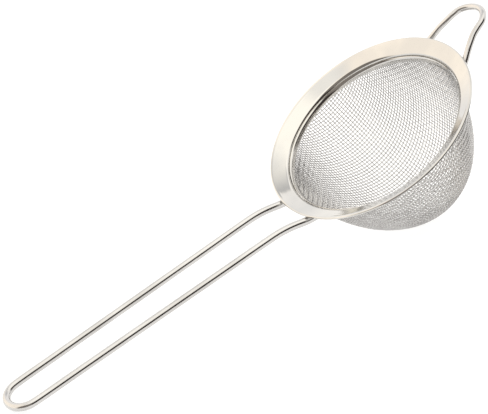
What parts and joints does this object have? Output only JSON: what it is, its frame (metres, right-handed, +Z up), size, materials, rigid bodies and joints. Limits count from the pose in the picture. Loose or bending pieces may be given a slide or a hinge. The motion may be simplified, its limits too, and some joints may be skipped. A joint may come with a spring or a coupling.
{
  "type": "tea strainer",
  "caption": "Stainless steel tea strainer with a deep woven mesh bowl, a wide sloping rim, a long bent wire handle and a wire rest hook.",
  "frame": {"origin": "centre of the bounding box at the table that the strainer lies on: the bowl and the handle end both touch z = 0", "axes": "+X from the handle end to the hook, along the strainer's length; +Z up from the table; +Y to the left when looking along +X"},
  "size_m": [0.2052, 0.08, 0.0683],
  "materials": {
    "rim_sheet": "polished stainless sheet with a faint turned grain",
    "mesh_wire": "bright drawn stainless wire, plain woven",
    "handle_wire": "polished stainless wire"
  },
  "bodies": {
    "root": {"rim_flange": "rim_sheet", "retaining_ring": "rim_sheet", "mesh_bowl": "mesh_wire", "handle_wire": "handle_wire", "rest_hook": "handle_wire"}
  },
  "joints": []
}
